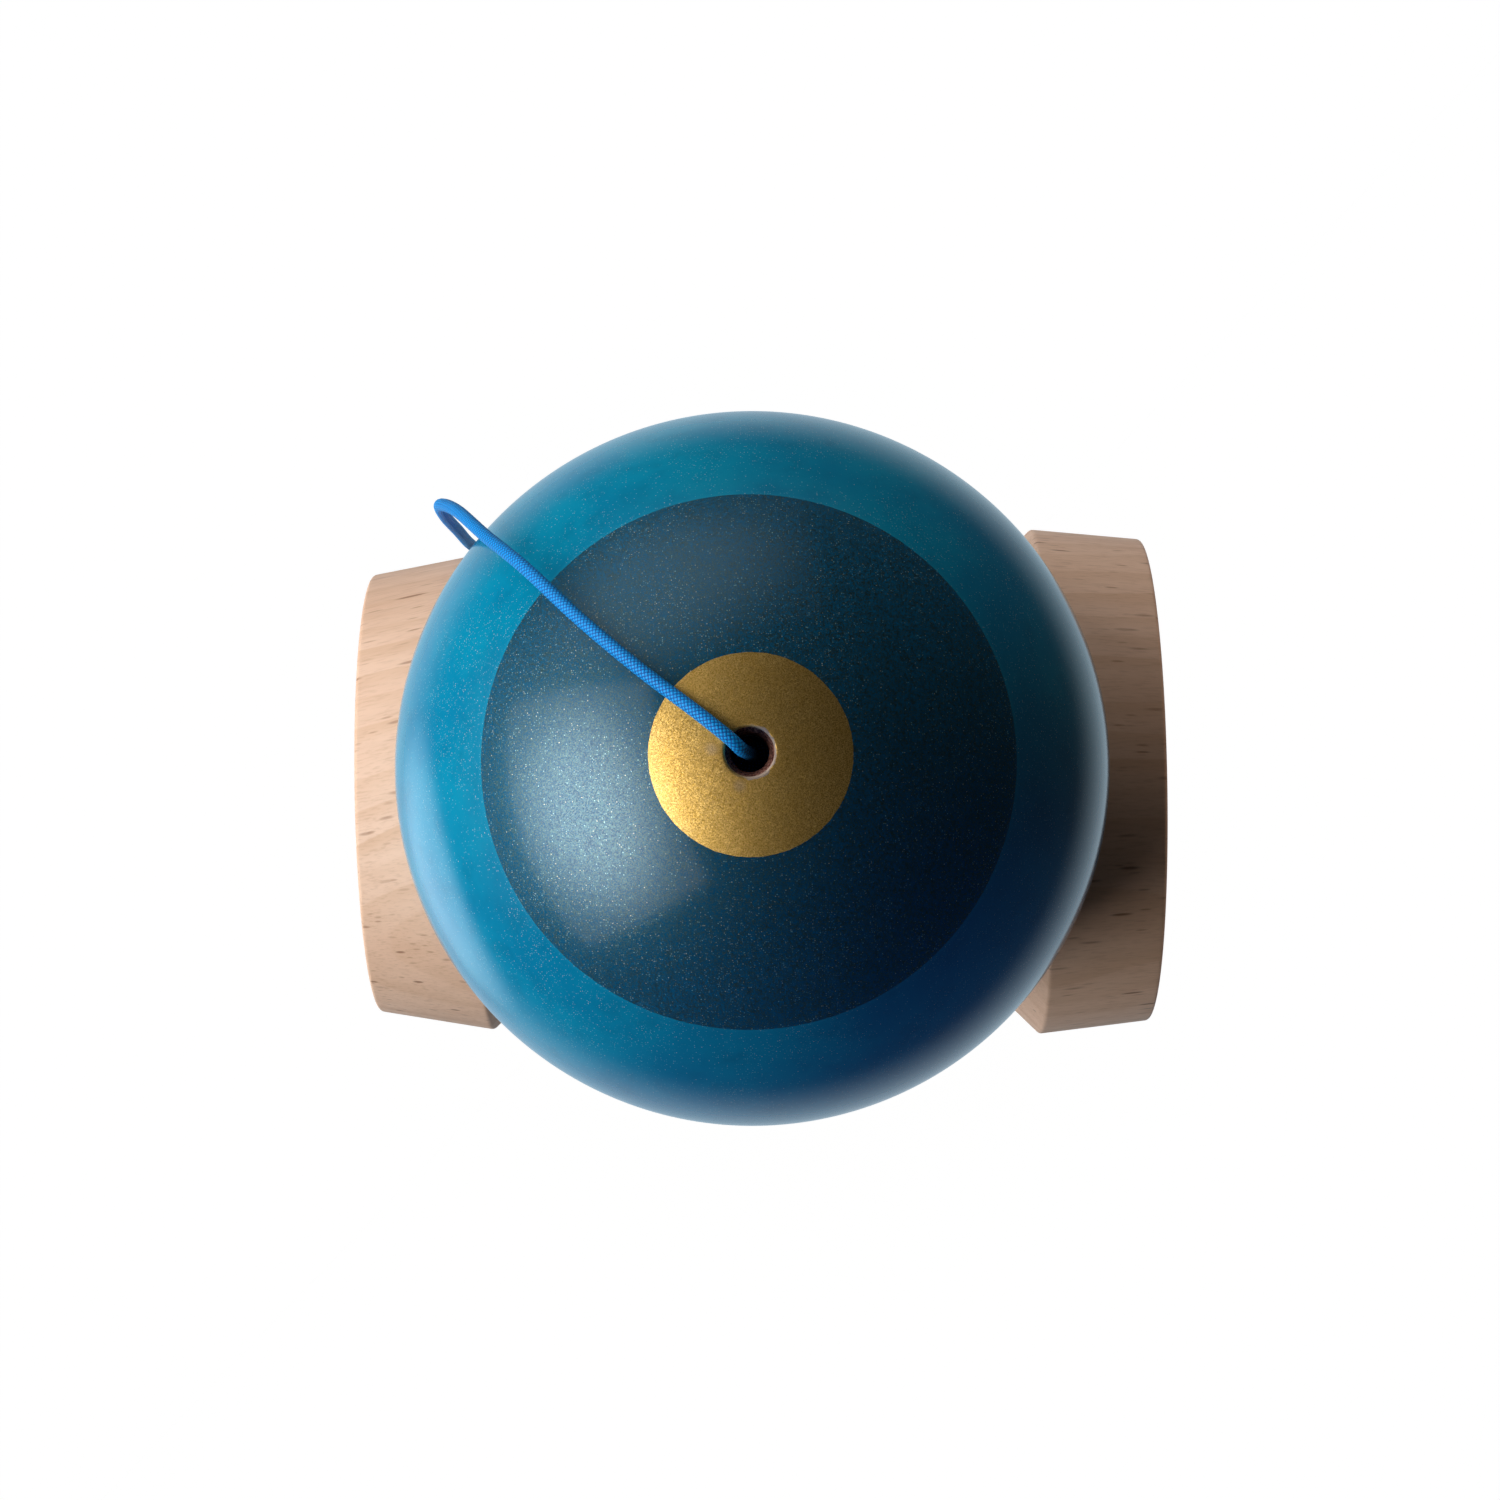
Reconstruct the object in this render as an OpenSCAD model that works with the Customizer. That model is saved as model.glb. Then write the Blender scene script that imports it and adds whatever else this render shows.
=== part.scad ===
// Kendama: a wooden cup-and-ball skill toy, standing on its base cup with the ball on its spike.
// Millimetres. The origin is the centre of the base cup's rim, on the ground. +Z runs up the
// turned handle (the ken), the big cup opens towards +X and the small cup towards -X.

/* [Ball] */
// Diameter of the ball
ball_d = 60; // [59:0.1:60.3]
// Diameter of the bore that takes the spike
bore_d = 22; // [20:0.5:23]
// Diameter of the bevelled mouth of the bore
mouth_d = 32; // [30:0.5:33]
// Diameter of the string hole in the top of the ball
string_hole_d = 3; // [2.8:0.1:3.4]

/* [Handle] */
// Height of the handle, from the base cup's rim to the spike's tip
ken_h = 160; // [156:0.5:160.5]
// Height of the cross piece's axis above the ground
axis_z = 104; // [103:0.1:104]
// Outer diameter of the base cup
base_d = 40; // [38:0.5:41]
// Diameter of the thin neck above the base cup
neck_d = 16.8; // [15:0.2:18]
// Diameter of the swell in the middle of the grip
grip_d = 21.2; // [19:0.2:22]
// Diameter of the spike's root, where it leaves the cross piece
spike_root_d = 15.5; // [14:0.1:16]
// Diameter of the spike near its tip
spike_tip_d = 8.8; // [8:0.2:10]

/* [Cross piece] */
// Distance from the handle's axis to the big cup's rim
big_reach = 36.9; // [36:0.1:38]
// Largest diameter of the big cup
big_d = 48; // [46:0.1:48.2]
// Distance from the handle's axis to the small cup's rim
small_reach = 35.9; // [35:0.1:37]
// Largest diameter of the small cup
small_d = 45.4; // [44:0.1:45.5]
// Diameter of the waist between the cups
waist_d = 24.8; // [23:0.1:25]

/* [Cord] */
// Diameter of the braided cord
cord_d = 1.1; // [1:0.1:1.6]

/* [Hidden] */
$fn = 96;

eps = 0.01;
quarter = [0 : 15 : 90];

// ball
ball_r = ball_d / 2;
ball_z = axis_z + 40.4;          // the ball sits between the cups' backs, 0.3 mm clear of them
mouth_z = -sqrt(pow(ball_r, 2) - pow(mouth_d / 2, 2));
bevel_h = (mouth_d - bore_d) / 2;
bore_top = 17;                   // heights inside the ball are counted from its centre
pocket_top = 22;
pocket_r = 6;
hole_flare = 0.45;               // the string hole is worn this much wider at its mouth
hole_flare_h = 1.2;              // and down to this depth
hole_mouth_z = sqrt(pow(ball_r, 2) - pow(string_hole_d / 2 + hole_flare, 2));

// string bearing, seated in the ball above the bore
bearing_r = 4;
bearing_h = 3;
bearing_bore_r = 1.5;
bearing_z = ball_z + pocket_top + bearing_h / 2;
pitch_r = 2.75;
race_r = 0.80;                   // radius of the groove in each ring
roller_r = 0.72;
roller_count = 7;
inner_ring_r = 2.2;
outer_ring_bore_r = 3.3;
cage_in_r = 2.45;
cage_out_r = 3.05;
cage_h = 2;
cage_pocket_r = 0.78;
shield_t = 0.15;
shield_bore_r = 2.35;
shield_in = 0.1;                 // each shield lies this far inside the ring's face

// handle: heights above the ground
rim_in_r = 17.4;
rim_round = 0.8;
base_cup_depth = 8;
base_wide_z = 6.5;
base_back_z = 8.5;
neck_z = 30;
grip_z = 66;
taper_half = 13;                 // the tapered seat runs this far below and above the axis
taper_low_r = 8.5;
taper_high_r = spike_root_d / 2;
cord_way_r = 1.5;                // radius of the cord's hole through the handle
recess_r = 3;
recess_y = -4.2;                 // floor of the knot's recess

// cross piece
waist_r = waist_d / 2;
fillet_r = 10;                   // blends the waist into the cups' 45 degree backs
edge_round = 0.5;
lip_round = 0.5;

// knots
knot_r = 2.1;
knot_h = 3.6;

// The cord's way, by hand: up from the knot in the ball, out of the string hole and over the
// ball, down past the small cup to the ground, a slack bight behind the base cup, then up to the
// back of the waist and through the handle to its knot.
cord_way = [
    [0, 0, 166.4], [0, 0, 171], [-0.6, 0.2, 173.8], [-1.6, 1.1, 174.95], [-3.9, 3, 174.8],
    [-8.4, 6.6, 173.2], [-13.1, 10.8, 170.2], [-17.4, 15.1, 166.2], [-20.9, 18.3, 160.5],
    [-23.9, 21.3, 152.9], [-26.1, 22.9, 143.3], [-26.7, 23.2, 132.1], [-26.5, 23.1, 121.2],
    [-26.6, 23.3, 110.5], [-26.8, 23.9, 95.7], [-26.9, 24.2, 72], [-26.5, 24.6, 44],
    [-26.3, 25, 22], [-25.6, 25.6, 9], [-22.6, 27.6, 2.2], [-16, 30.6, 1], [-6, 33.4, 0.9],
    [5, 34, 0.9], [15, 31.6, 0.9], [22.4, 26.4, 0.9], [24.8, 20.4, 0.9], [22, 16.4, 0.9],
    [17.4, 18, 0.9], [10, 22.8, 1], [3, 24.6, 3.4], [0.4, 24.4, 11], [0, 24, 30], [0.2, 23, 52],
    [0.1, 21.8, 74], [0, 20.4, 90], [0, 18.4, 99.4], [0, 14.4, 103.6], [0, 9, 104], [0, 2, 104],
    [0, recess_y, 104]
];
steps = 2;                       // rings between one point and the next
sides = 8;

// A point on the smooth curve through p1 and p2, whose neighbours are p0 and p3.
function glide(p0, p1, p2, p3, t) =
    p1 + (p2 - p0) * t / 2 + (2 * p0 - 5 * p1 + 4 * p2 - p3) * t * t / 2
    + (3 * p1 - p0 - 3 * p2 + p3) * t * t * t / 2;

function smooth_way(p) =
    let (last = len(p) - 1)
    concat([for (i = [0 : last - 1], k = [0 : steps - 1])
        glide(p[max(i - 1, 0)], p[i], p[i + 1], p[min(i + 2, last)], k / steps)], [p[last]]);

function unit(v) = v / norm(v);

// A ring's sideways direction, carried along the line so that the tube doesn't twist.
function carried(side, heading) = unit(side - (side * heading) * heading);
function sideways(headings) = [
    for (i = 0, s = carried([1, 0, 0], headings[0]);
         i < len(headings);
         i = i + 1, s = i < len(headings) ? carried(s, headings[i]) : s) s];

// A round tube swept along a line of points.
module tube(line, r) {
    last = len(line) - 1;
    headings = [for (i = [0 : last]) unit(line[min(i + 1, last)] - line[max(i - 1, 0)])];
    side = sideways(headings);
    rings = [for (i = [0 : last], k = [0 : sides - 1])
        let (a = 360 * k / sides)
        line[i] + r * (cos(a) * side[i] + sin(a) * cross(headings[i], side[i]))];
    walls = [for (i = [0 : last - 1], k = [0 : sides - 1])
        let (a = i * sides + k, b = i * sides + (k + 1) % sides)
        [a, a + sides, b + sides, b]];
    polyhedron(rings, concat([[for (k = [0 : sides - 1]) k]], walls,
        [[for (k = [sides - 1 : -1 : 0]) last * sides + k]]), convexity = 10);
}

// Points of a quarter round, turning from angle a to a + 90.
function corner(x, y, r, a) = [for (q = quarter) [x + r * cos(a + q), y + r * sin(a + q)]];

// The ball that a cup is hollowed with, standing on its rim plane at the origin, opening up.
module cup_hollow(rim_r, depth) {
    r = (pow(rim_r, 2) + pow(depth, 2)) / (2 * depth);
    translate([0, 0, r - depth]) sphere(r, $fn = 128);
}

// Half the cross piece's outline, from its middle to one rim, as [distance, radius] points.
function half_outline(reach, wide_r, wide_x, rim_r) =
    let (foot = wide_x - wide_r + waist_r,           // where the 45 degree back would meet the waist
         run = fillet_r * tan(22.5),
         slope = unit([reach - wide_x, rim_r - wide_r]))
    concat(
        [[0, 0], [0, waist_r]],
        [for (a = [0 : 7.5 : 45])
            [foot - run + fillet_r * sin(a), waist_r + fillet_r * (1 - cos(a))]],
        [[wide_x - edge_round, wide_r - edge_round], [wide_x - edge_round * 0.3, wide_r - edge_round * 0.12],
         [wide_x, wide_r] + slope * edge_round],
        [[reach, rim_r] - slope * lip_round],
        [for (a = [75 : -15 : 0])
            [reach - lip_round + lip_round * cos(a), rim_r - lip_round + lip_round * sin(a)]],
        [[reach, 0]]);

// One end of the cross piece, lying along +X, with its cup cut into it.
module cup_end(reach, wide_r, wide_x, rim_r, hollow_r, depth) {
    difference() {
        rotate([0, 90, 0]) rotate_extrude()
            polygon([for (p = half_outline(reach, wide_r, wide_x, rim_r)) [p[1], p[0]]]);
        translate([reach, 0, 0]) rotate([0, 90, 0]) cup_hollow(hollow_r, depth);
    }
}

// The tapered seat that the cross piece is pressed onto.
module seat_taper() {
    translate([0, 0, axis_z - taper_half])
        cylinder(h = 2 * taper_half, r1 = taper_low_r, r2 = taper_high_r);
}

// Cross piece: big cup, small cup and the tapered bore through its waist.
module sarado() {
    color("burlywood") difference() {
        translate([0, 0, axis_z]) {
            cup_end(big_reach, big_d / 2, 26.6, 22.9, 20.4, 11);
            rotate([0, 0, 180]) cup_end(small_reach, small_d / 2, 25.2, 20.8, 18.4, 9.5);
        }
        seat_taper();
        // string holes in the back and the front of the waist
        for (turn = [0, 180]) rotate([0, 0, turn]) translate([0, 0, axis_z]) rotate([-90, 0, 0]) {
            cylinder(h = waist_r + 1, r = cord_way_r);
            translate([0, 0, waist_r - 0.5]) cylinder(h = 0.6, r1 = cord_way_r, r2 = cord_way_r + 0.6);
        }
    }
}

// The handle's turned outline, from the base cup's rim to the spike's tip.
function grip_radius(z) = z < grip_z
    ? neck_d / 2 + (grip_d - neck_d) / 4 * (1 - cos(180 * (z - neck_z) / (grip_z - neck_z)))
    : taper_low_r + (grip_d / 2 - taper_low_r) / 2
        * (1 + cos(180 * (z - grip_z) / (axis_z - taper_half - grip_z)));

ken_outline = concat(
    [[0, 0], [rim_in_r + 1.4, 0]],
    [for (a = [-75 : 15 : -15]) [rim_in_r + 1.4 + rim_round * cos(a), rim_round + rim_round * sin(a)]],
    [[base_d / 2 - 0.1, base_wide_z - 0.8], [base_d / 2, base_wide_z]],
    [[base_d / 2 - 0.4, base_wide_z + 0.9]],
    [for (a = [0 : 9 : 90])
        [base_d / 2 - 1 - (base_d / 2 - 1 - neck_d / 2) * sin(a), neck_z - (neck_z - base_back_z) * cos(a)]],
    [for (z = [neck_z + 4 : 4 : axis_z - taper_half - 1]) [grip_radius(z), z]],
    [[taper_low_r, axis_z - taper_half], [taper_high_r, axis_z + taper_half]],
    [for (a = [0 : 11.25 : 90])
        [spike_tip_d / 2 * cos(a), ken_h - 3.6 + 3.6 * sin(a)]]);

// Handle: base cup, grip, tapered seat and spike, turned from one piece.
module ken() {
    color("wheat") difference() {
        rotate_extrude() polygon(ken_outline);
        rotate([180, 0, 0]) cup_hollow(rim_in_r, base_cup_depth);
        // the cord's hole, with a recess for its knot in the front
        translate([0, 0, axis_z]) rotate([90, 0, 0])
            cylinder(h = 2 * taper_low_r + 4, r = cord_way_r, center = true);
        translate([0, recess_y, axis_z]) rotate([90, 0, 0]) cylinder(h = taper_low_r, r = recess_r);
    }
}

// Ball, with the bore for the spike, a pocket for the string bearing and the string hole.
module tama() {
    color("teal") translate([0, 0, ball_z]) difference() {
        sphere(ball_r, $fn = 180);
        translate([0, 0, mouth_z - 6]) cylinder(h = bore_top - mouth_z + 6, d = bore_d);
        translate([0, 0, mouth_z - 5 - eps])
            cylinder(h = 5 + bevel_h, r1 = mouth_d / 2 + 5, r2 = bore_d / 2);
        translate([0, 0, mouth_z - 10]) cylinder(h = 10, r = mouth_d / 2 + 5);
        translate([0, 0, bore_top - eps])
            cylinder(h = pocket_top - bore_top + 2 * eps, r1 = bore_d / 2, r2 = pocket_r);
        translate([0, 0, pocket_top - 1]) cylinder(h = bearing_h + 1, r = bearing_r);
        translate([0, 0, pocket_top + bearing_h - eps]) cylinder(h = 0.4, r = outer_ring_bore_r);
        cylinder(h = ball_r + 2, d = string_hole_d);
        translate([0, 0, hole_mouth_z - hole_flare_h])
            cylinder(h = 2 * hole_flare_h, r1 = string_hole_d / 2, r2 = string_hole_d / 2 + 2 * hole_flare);
    }
}

// The groove that the bearing's balls run in.
module race() {
    rotate_extrude() translate([pitch_r, 0]) circle(race_r, $fn = 32);
}

module ring(h, out_r, in_r) {
    difference() {
        cylinder(h = h, r = out_r, center = true);
        cylinder(h = h + 1, r = in_r, center = true);
    }
}

module bearing_outer_ring() {
    color("silver") translate([0, 0, bearing_z]) difference() {
        ring(bearing_h, bearing_r, outer_ring_bore_r);
        race();
    }
}

module bearing_inner_ring() {
    color("silver") translate([0, 0, bearing_z]) difference() {
        ring(bearing_h, inner_ring_r, bearing_bore_r);
        race();
    }
}

// One child at the place of each of the bearing's balls, with its X axis pointing outwards.
module around() {
    for (i = [0 : roller_count - 1])
        rotate([0, 0, 360 * i / roller_count]) children();
}

module bearing_balls() {
    color("gainsboro") translate([0, 0, bearing_z]) around() translate([pitch_r, 0, 0])
        sphere(roller_r, $fn = 32);
}

module bearing_cage() {
    color("gold") translate([0, 0, bearing_z]) difference() {
        ring(cage_h, cage_out_r, cage_in_r);
        around() translate([cage_in_r - cage_pocket_r / 2, 0, 0]) rotate([0, 90, 0])
            cylinder(h = 2, r = cage_pocket_r, $fn = 32);
    }
}

// Two thin washers that close the bearing above and below its cage.
module bearing_shields() {
    color("dimgray") for (side = [-1, 1])
        translate([0, 0, bearing_z + side * (bearing_h / 2 - shield_in - shield_t / 2)])
            ring(shield_t, outer_ring_bore_r, shield_bore_r);
}

// A knot in the cord, as a plain round lump standing on its seat.
module knot() {
    rotate_extrude() polygon(concat([[0, 0]], corner(knot_r - 0.8, 0.8, 0.8, -90),
        corner(knot_r - 0.8, knot_h - 0.8, 0.8, 0), [[0, knot_h]]));
}

module tama_knot() {
    color("dodgerblue") translate([0, 0, ball_z + pocket_top - knot_h]) knot();
}

module ken_knot() {
    color("dodgerblue") translate([0, recess_y, axis_z]) rotate([90, 0, 0]) knot();
}

module cord() {
    color("dodgerblue") tube(smooth_way(cord_way), cord_d / 2);
}

ken();
sarado();
tama();
bearing_outer_ring();
bearing_inner_ring();
bearing_balls();
bearing_cage();
bearing_shields();
tama_knot();
ken_knot();
cord();
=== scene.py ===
"""Looks of a kendama: turned beech, a painted flake ball, a braided cord and a small ball bearing.

Sizes are in millimetres until they reach a mesh, and materials, lights and the camera are in metres.
The frame is the CAD frame: +Z up the handle, the big cup towards +X, the cord hanging at the back, +Y.
"""
import math

import bpy
import numpy as np
from mathutils import Matrix, Vector


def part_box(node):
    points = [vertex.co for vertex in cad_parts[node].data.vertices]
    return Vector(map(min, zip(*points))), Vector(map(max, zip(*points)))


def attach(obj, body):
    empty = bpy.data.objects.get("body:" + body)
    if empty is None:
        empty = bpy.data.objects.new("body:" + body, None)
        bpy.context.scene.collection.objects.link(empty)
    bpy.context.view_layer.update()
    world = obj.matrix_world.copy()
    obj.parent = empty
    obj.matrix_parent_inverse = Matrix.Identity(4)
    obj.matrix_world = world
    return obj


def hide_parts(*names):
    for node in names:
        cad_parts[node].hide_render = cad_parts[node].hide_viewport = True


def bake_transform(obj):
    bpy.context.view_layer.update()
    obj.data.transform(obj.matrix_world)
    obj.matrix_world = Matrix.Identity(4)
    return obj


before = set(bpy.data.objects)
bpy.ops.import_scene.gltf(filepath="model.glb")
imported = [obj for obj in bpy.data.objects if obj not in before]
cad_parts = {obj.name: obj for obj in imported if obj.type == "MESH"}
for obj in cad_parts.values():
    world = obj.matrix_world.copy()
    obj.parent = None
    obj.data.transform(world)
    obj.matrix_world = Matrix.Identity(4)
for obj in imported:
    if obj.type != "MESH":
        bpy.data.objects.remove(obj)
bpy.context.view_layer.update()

MM = 0.001

# ---------------------------------------------------------------- sizes, as in the CAD model

BALL_R = 30.0
BORE_R = 11.0
MOUTH_R = 16.0
STRING_HOLE_R = 1.5
HOLE_MOUTH_R = 1.95
HOLE_FLARE_H = 1.2
BORE_TOP = 17.0
POCKET_TOP = 22.0
POCKET_R = 6.0

KEN_H = 160.0
RIM_IN_R = 17.4
BASE_CUP_DEPTH = 8.0
BASE_R = 20.0
BASE_BACK_Z = 8.5
NECK_R = 8.4
NECK_Z = 30.0
GRIP_R = 10.6
GRIP_Z = 66.0
TAPER_HALF = 13.0
TAPER_LOW_R = 8.5
TAPER_HIGH_R = 7.75
SEAT_GAP = 0.01            # the cross piece's bore clears the handle's seat by this much
SPIKE_TIP_R = 4.4
TIP_H = 3.6

WAIST_R = 12.4
FILLET_R = 10.0
CORD_WAY_R = 1.5
RECESS_R = 3.0
RECESS_Y = -4.2

BEARING_R = 4.0
BEARING_H = 3.0
OUTER_RING_BORE_R = 3.3
INNER_RING_R = 2.2
BEARING_BORE_R = 1.5
PITCH_R = 2.75
RACE_R = 0.8
ROLLER_R = 0.72
ROLLERS = 7
CAGE_IN_R = 2.45
CAGE_OUT_R = 3.05
CAGE_H = 2.0
CAGE_POCKET_R = 0.78
SHIELD_T = 0.15
SHIELD_IN = 0.1
SHIELD_BORE_R = 2.35

CORD_D = 1.1
KNOT_H = 3.6

sarado_low, sarado_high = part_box("sarado")
AXIS_Z = round((sarado_low.z + sarado_high.z) / 2 / MM, 1)
SEAT_LOW_Z = AXIS_Z - TAPER_HALF
SEAT_HIGH_Z = AXIS_Z + TAPER_HALF
BALL_Z = AXIS_Z + 40.4
BALL_CENTRE = Vector((0, 0, BALL_Z * MM))
BEARING_Z = BALL_Z + POCKET_TOP + BEARING_H / 2

# The cord's way, as in part.scad.
CORD_WAY = [
    (0, 0, 166.4), (0, 0, 171), (-0.6, 0.2, 173.8), (-1.6, 1.1, 174.95), (-3.9, 3, 174.8),
    (-8.4, 6.6, 173.2), (-13.1, 10.8, 170.2), (-17.4, 15.1, 166.2), (-20.9, 18.3, 160.5),
    (-23.9, 21.3, 152.9), (-26.1, 22.9, 143.3), (-26.7, 23.2, 132.1), (-26.5, 23.1, 121.2),
    (-26.6, 23.3, 110.5), (-26.8, 23.9, 95.7), (-26.9, 24.2, 72), (-26.5, 24.6, 44),
    (-26.3, 25, 22), (-25.6, 25.6, 9), (-22.6, 27.6, 2.2), (-16, 30.6, 1), (-6, 33.4, 0.9),
    (5, 34, 0.9), (15, 31.6, 0.9), (22.4, 26.4, 0.9), (24.8, 20.4, 0.9), (22, 16.4, 0.9),
    (17.4, 18, 0.9), (10, 22.8, 1), (3, 24.6, 3.4), (0.4, 24.4, 11), (0, 24, 30), (0.2, 23, 52),
    (0.1, 21.8, 74), (0, 20.4, 90), (0, 18.4, 99.4), (0, 14.4, 103.6), (0, 9, 104), (0, 2, 104),
    (0, RECESS_Y, 104),
]

# ---------------------------------------------------------------- camera


def add_camera():
    """A camera a forearm's length above the ball, a little to its front and right."""
    distance, right, front, roll = 0.305, math.radians(0.34), math.radians(2.45), math.radians(1.0)
    back = Vector((math.sin(right), -math.sin(front), 0))
    back.z = math.sqrt(1 - back.length_squared)
    across = Vector((math.sin(roll), math.cos(roll), 0)).cross(back).normalized()
    data = bpy.data.cameras.new("camera")
    data.sensor_width = 36
    data.lens = 86.8
    data.shift_x = -0.0015
    data.shift_y = 0.0123
    data.clip_start = 0.01
    camera = bpy.data.objects.new("camera", data)
    turn = Matrix((across, back.cross(across), back)).transposed().to_4x4()
    camera.matrix_world = Matrix.Translation(BALL_CENTRE + distance * back) @ turn
    bpy.context.scene.collection.objects.link(camera)
    bpy.context.scene.camera = camera


add_camera()

# ---------------------------------------------------------------- meshes

SHARP = 35                 # an edge that turns by more degrees than this isn't shaded smooth
SMALL_SEGMENTS = 96        # round the small turned pieces and the cutting tools


def smooth_faces(mesh, sharp):
    mesh.shade_smooth()
    mesh.set_sharp_from_angle(angle=math.radians(sharp))


def mesh_object(name, points, faces, body=None, node=None, sharp=SHARP):
    """An object from points in millimetres, riding on a CAD body and standing for a CAD node."""
    mesh = bpy.data.meshes.new(name)
    mesh.from_pydata((np.asarray(points, float) * MM).tolist(), [], faces)
    smooth_faces(mesh, sharp)
    obj = bpy.data.objects.new(name, mesh)
    bpy.context.scene.collection.objects.link(obj)
    if body:
        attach(obj, body)
    if node:
        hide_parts(node)
    return obj


def turned(outline, segments):
    """Points and faces of an outline of (radius, height) points turned about Z.

    An outline that starts and ends on the axis gives a solid, and one that comes back to its first
    point gives a ring.
    """
    ring = math.dist(outline[0], outline[-1]) < 1e-6
    rows = outline[:-1] if ring else outline
    angles = np.arange(segments) * 2 * math.pi / segments
    points, starts = [], []
    for r, z in rows:
        starts.append(len(points))
        if r < 1e-6:
            points.append((0, 0, z))
        else:
            points += [(r * math.cos(a), r * math.sin(a), z) for a in angles]
    faces = []
    last = len(rows) if ring else len(rows) - 1
    for i in range(last):
        j = (i + 1) % len(rows)
        a, b = starts[i], starts[j]
        for k in range(segments):
            n = (k + 1) % segments
            if rows[i][0] < 1e-6:
                faces.append((a, b + n, b + k))
            elif rows[j][0] < 1e-6:
                faces.append((a + k, a + n, b))
            else:
                faces.append((a + k, a + n, b + n, b + k))
    return points, faces


def joined(parts):
    """Several (points, faces) pairs as one."""
    points, faces = [], []
    for more, sides in parts:
        faces += [tuple(i + len(points) for i in side) for side in sides]
        points += more
    return points, faces


def arc(x, y, r, start, end, steps):
    """Points of an arc about (x, y), from the angle start to end, in degrees."""
    return [(x + r * math.cos(math.radians(a)), y + r * math.sin(math.radians(a)))
            for a in np.linspace(start, end, steps + 1)]


def softened(outline, rounds):
    """The outline with some corners rounded: rounds maps a point's index to its radius."""
    result = []
    for i, point in enumerate(outline):
        if i not in rounds:
            result.append(point)
            continue
        p = np.array(point, float)
        a, b = np.array(outline[i - 1], float) - p, np.array(outline[i + 1], float) - p
        reach_a, reach_b = np.linalg.norm(a), np.linalg.norm(b)
        a, b = a / reach_a, b / reach_b
        half = math.acos(max(-1, min(1, float(a @ b)))) / 2
        trim = min(rounds[i] / math.tan(half), 0.45 * reach_a, 0.45 * reach_b)
        for t in np.linspace(0, 1, 7):
            result.append(tuple(p + a * trim * (1 - t) ** 2 + b * trim * t ** 2))
    return result


def hollow(rim_r, depth, steps):
    """A cup's inside, from its middle to its rim, as (radius, depth below the rim) points."""
    r = (rim_r ** 2 + depth ** 2) / (2 * depth)
    widest = math.asin(rim_r / r)
    return [(r * math.sin(a), r * math.cos(a) - (r - depth)) for a in np.linspace(0, widest, steps)]


def cut(obj, tools):
    """obj less the tools, which are then removed."""
    for tool in tools:
        step = obj.modifiers.new("cut", "BOOLEAN")
        step.operation, step.solver, step.object = "DIFFERENCE", "EXACT", tool
    shape = bpy.context.evaluated_depsgraph_get()
    mesh = bpy.data.meshes.new_from_object(obj.evaluated_get(shape))
    obj.modifiers.clear()
    old, obj.data = obj.data, mesh
    mesh.name = obj.name
    bpy.data.meshes.remove(old)
    for tool in tools:
        bpy.data.objects.remove(tool)
    smooth_faces(mesh, SHARP)


def rod(r_start, r_end, start, end):
    """A cutting tool: a cone or cylinder between two points."""
    start, end = Vector(start), Vector(end)
    length = (end - start).length
    points, faces = turned([(0, 0), (r_start, 0), (r_end, length), (0, length)], SMALL_SEGMENTS)
    turn = (end - start).to_track_quat("Z", "Y").to_matrix().to_4x4()
    points = [Matrix.Translation(start) @ turn @ Vector(p) for p in points]
    return mesh_object("tool", points, faces)


# ---------------------------------------------------------------- the wooden pieces


def half_outline(reach, wide_r, wide_x, rim_r, hollow_r, depth):
    """Half the cross piece, from the waist to the middle of the cup, as (radius, distance).

    The cup is widest at wide_x, its rim lies at reach, and its hollow is depth deep.
    """
    foot = wide_x - wide_r + WAIST_R
    run = FILLET_R * math.tan(math.radians(22.5))
    outline = [(WAIST_R + FILLET_R * (1 - math.cos(a)), foot - run + FILLET_R * math.sin(a))
               for a in np.radians(np.linspace(0, 45, 13))]
    inside = [(r, reach - d) for r, d in hollow(hollow_r, depth, 40)]
    edge, lip, brim = len(outline), len(outline) + 1, len(outline) + 2
    outline += [(wide_r, wide_x), (rim_r, reach), (hollow_r, reach)] + inside[::-1][1:]
    return softened(outline, {edge: 0.5, lip: 0.4, brim: 0.4})


def make_sarado():
    """The cross piece, turned about X, with its tapered bore and its two string holes."""
    big = half_outline(reach=round(sarado_high.x / MM, 1), wide_r=24.0, wide_x=26.6,
                       rim_r=22.9, hollow_r=20.4, depth=11)
    small = half_outline(reach=round(-sarado_low.x / MM, 1), wide_r=22.7, wide_x=25.2,
                         rim_r=20.8, hollow_r=18.4, depth=9.5)
    outline = [(r, -x) for r, x in small[::-1]] + big
    points, faces = turned(outline, segments=224)
    points = [(x, y, z + AXIS_Z) for y, z, x in points]
    sarado = mesh_object("sarado_wood", points, faces, "handle", "sarado")
    bore = rod(TAPER_LOW_R + SEAT_GAP, TAPER_HIGH_R + SEAT_GAP, (0, 0, SEAT_LOW_Z), (0, 0, SEAT_HIGH_Z))
    holes = rod(CORD_WAY_R, CORD_WAY_R, (0, -20, AXIS_Z), (0, 20, AXIS_Z))
    sinks = [rod(CORD_WAY_R, CORD_WAY_R + 0.8, (0, side * (WAIST_R - 0.5), AXIS_Z),
                 (0, side * (WAIST_R + 0.3), AXIS_Z)) for side in (-1, 1)]
    cut(sarado, [bore, holes] + sinks)
    return sarado


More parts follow.
